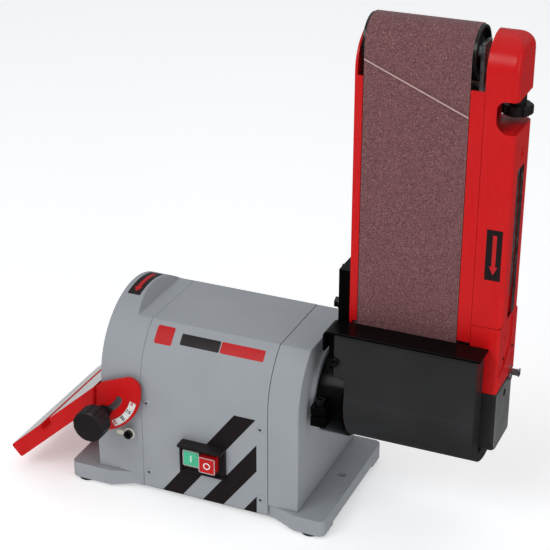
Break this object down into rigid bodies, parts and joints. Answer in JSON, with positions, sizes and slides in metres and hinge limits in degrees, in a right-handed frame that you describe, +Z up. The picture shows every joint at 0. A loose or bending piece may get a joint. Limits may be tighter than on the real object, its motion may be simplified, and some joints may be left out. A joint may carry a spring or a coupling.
{
  "type": "belt and disc sander",
  "caption": "Bench sander: a motor housing with a tilting-table sanding disc at one end and an upright sanding belt arm on the other.",
  "frame": {"origin": "on the bench under the machine, at the bottom centre of its bounding box", "axes": "+Z up; +X along the motor shaft from the disc to the belt; -Y towards the user, the side the switch is on"},
  "size_m": [0.5235, 0.249, 0.5267],
  "materials": {
    "housing_paint": "semi-gloss light grey powder coat",
    "foot_rubber": "matt black rubber",
    "red_casting": "gloss red paint",
    "red_sheet": "semi-gloss red powder coat",
    "black_sheet": "semi-gloss black powder coat",
    "black_plastic": "moulded black plastic",
    "black_screws": "black oxide steel",
    "bright_steel": "turned or zinc-plated steel",
    "galvanised_steel": "galvanised steel sheet",
    "graphite_platen": "ground steel plate",
    "cast_aluminium": "machined aluminium",
    "idler_black": "black roller",
    "stator_steel": "laminated electrical steel",
    "copper_winding": "enamelled copper wire",
    "capacitor_case": "plain plastic can",
    "belt_grit": "red-brown aluminium oxide cloth",
    "disc_grit": "red-brown aluminium oxide paper",
    "scale_print": "white printed strip",
    "pointer_cream": "cream plastic",
    "button_green": "green plastic",
    "button_red": "red plastic"
  },
  "bodies": {
    "base": {"base_frame": "housing_paint", "rubber_feet": "foot_rubber", "disc_housing": "housing_paint", "motor_cover": "housing_paint", "end_housing": "housing_paint", "cover_screws": "housing_paint", "cable_gland": "black_plastic", "motor_stator": "stator_steel", "stator_windings": "copper_winding", "bearing_left": "bright_steel", "bearing_right": "bright_steel", "motor_cradle": "galvanised_steel", "run_capacitor": "capacitor_case", "switch_body": "black_plastic", "clamp_stud_front": "bright_steel", "clamp_stud_rear": "bright_steel", "scale_pointer": "pointer_cream", "pointer_screw": "black_screws"},
    "rotor": {"motor_shaft": "bright_steel", "motor_rotor": "cast_aluminium", "cooling_fan": "black_plastic", "disc_plate": "cast_aluminium", "disc_abrasive": "disc_grit", "drive_drum": "cast_aluminium"},
    "table": {"disc_table": "red_casting", "front_quadrant": "red_casting", "rear_quadrant": "red_casting", "angle_scale": "scale_print"},
    "knob_front": {"clamp_knob_front": "black_plastic"},
    "knob_rear": {"clamp_knob_rear": "black_plastic"},
    "start_key": {"start_button": "button_green"},
    "stop_key": {"stop_button": "button_red"},
    "arm": {"pivot_hub": "black_sheet", "hub_clamp_bolt": "black_screws", "bracket_bolts": "black_screws", "arm_shell": "red_sheet", "arm_spine": "galvanised_steel", "spine_bolts": "black_screws", "platen": "graphite_platen", "inner_guard": "red_sheet", "side_cover": "red_sheet", "lower_cover": "red_sheet", "end_cap": "black_plastic", "side_screws": "bright_steel", "cover_latch": "bright_steel", "stop_plate": "black_sheet", "drum_guard": "black_sheet", "guard_screw": "black_screws", "lever_bracket": "galvanised_steel", "lever_pin": "bright_steel", "tension_springs": "bright_steel", "sanding_belt": "belt_grit"},
    "carriage": {"idler_yoke": "galvanised_steel", "idler_axle": "bright_steel"},
    "idler": {"idler_roller": "idler_black", "idler_bearings": "bright_steel"},
    "lever": {"tension_lever": "galvanised_steel"},
    "tracking": {"tracking_knob": "black_plastic"}
  },
  "joints": [
    {"name": "shaft_spin", "type": "hinge", "parent": "base", "child": "rotor", "pos_m": [0, 0, 0.128], "axis": [1, 0, 0], "continuous": true},
    {"name": "table_tilt", "type": "hinge", "parent": "base", "child": "table", "pos_m": [-0.1605, 0, 0.126], "axis": [0, 1, 0], "range_deg": [-3, 42]},
    {"name": "front_knob_turn", "type": "hinge", "parent": "base", "child": "knob_front", "pos_m": [-0.14667, -0.1, 0.09494], "axis": [0, -1, 0], "range_deg": [0, 360]},
    {"name": "rear_knob_turn", "type": "hinge", "parent": "base", "child": "knob_rear", "pos_m": [-0.14667, 0.1, 0.09494], "axis": [0, 1, 0], "range_deg": [0, 360]},
    {"name": "start_press", "type": "slide", "parent": "base", "child": "start_key", "axis": [0, 1, 0], "range_m": [0, 0.002], "stiffness_N_per_m": 600},
    {"name": "stop_press", "type": "slide", "parent": "base", "child": "stop_key", "axis": [0, 1, 0], "range_m": [0, 0.0035], "stiffness_N_per_m": 600},
    {"name": "arm_tilt", "type": "hinge", "parent": "base", "child": "arm", "pos_m": [0.085, 0, 0.128], "axis": [1, 0, 0], "range_deg": [-90, 0]},
    {"name": "idler_slide", "type": "slide", "parent": "arm", "child": "carriage", "axis": [0, 0, -1], "range_m": [0, 0.005], "deforming": ["tension_springs"]},
    {"name": "idler_spin", "type": "hinge", "parent": "carriage", "child": "idler", "pos_m": [0.157, -0.002, 0.50017], "axis": [1, 0, 0], "continuous": true},
    {"name": "lever_swing", "type": "hinge", "parent": "arm", "child": "lever", "pos_m": [0.245, 0, 0.39], "axis": [0, -1, 0], "range_deg": [0, 90]},
    {"name": "tracking_turn", "type": "hinge", "parent": "arm", "child": "tracking", "pos_m": [0.2392, 0.0165, 0.4465], "axis": [0, 0, 1], "range_deg": [-180, 180]}
  ],
  "couplings": [
    {"joint": "idler_spin", "follows": "shaft_spin", "ratio": 1.0769},
    {"joint": "idler_slide", "follows": "lever_swing", "m_per_rad": 0.0031831}
  ]
}
